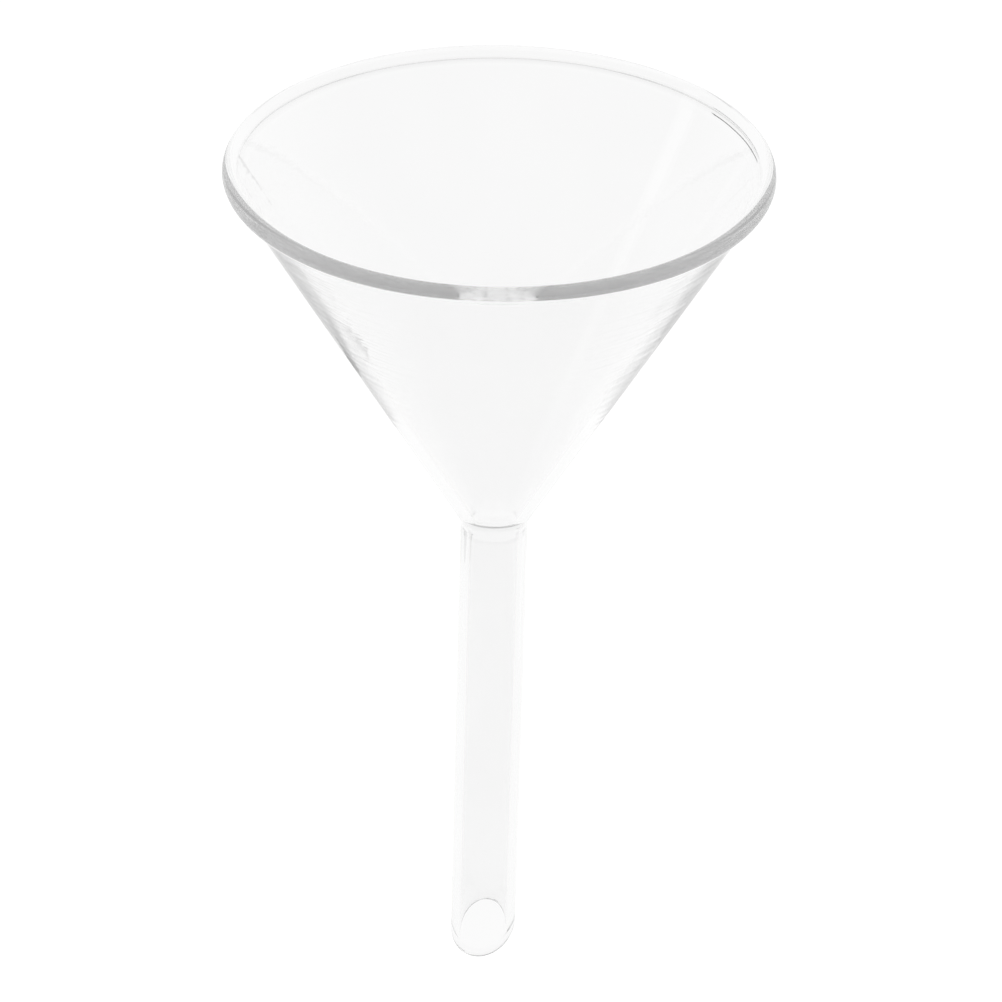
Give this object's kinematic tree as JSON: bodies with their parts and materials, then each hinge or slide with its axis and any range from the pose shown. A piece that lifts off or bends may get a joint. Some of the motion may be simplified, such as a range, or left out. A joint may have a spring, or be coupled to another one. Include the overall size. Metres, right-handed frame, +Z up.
{
  "type": "laboratory funnel",
  "caption": "Clear glass laboratory funnel: a 60 degree conical bowl with a beaded rim, fused onto a straight tubular stem whose tip is cut at a slant.",
  "frame": {"origin": "on the axis, in the plane of the support ring that the bowl rests in, where the outer cone is 50 mm across", "axes": "+Z up the axis and out of the bowl's mouth; -Y towards the low side of the slanting tip; +X to the right when looking along +Y"},
  "size_m": [0.08, 0.08, 0.1385],
  "materials": {
    "clear_glass": "clear borosilicate glass, fire-polished and smooth"
  },
  "bodies": {
    "root": {"bowl": "clear_glass", "stem": "clear_glass"}
  },
  "joints": []
}
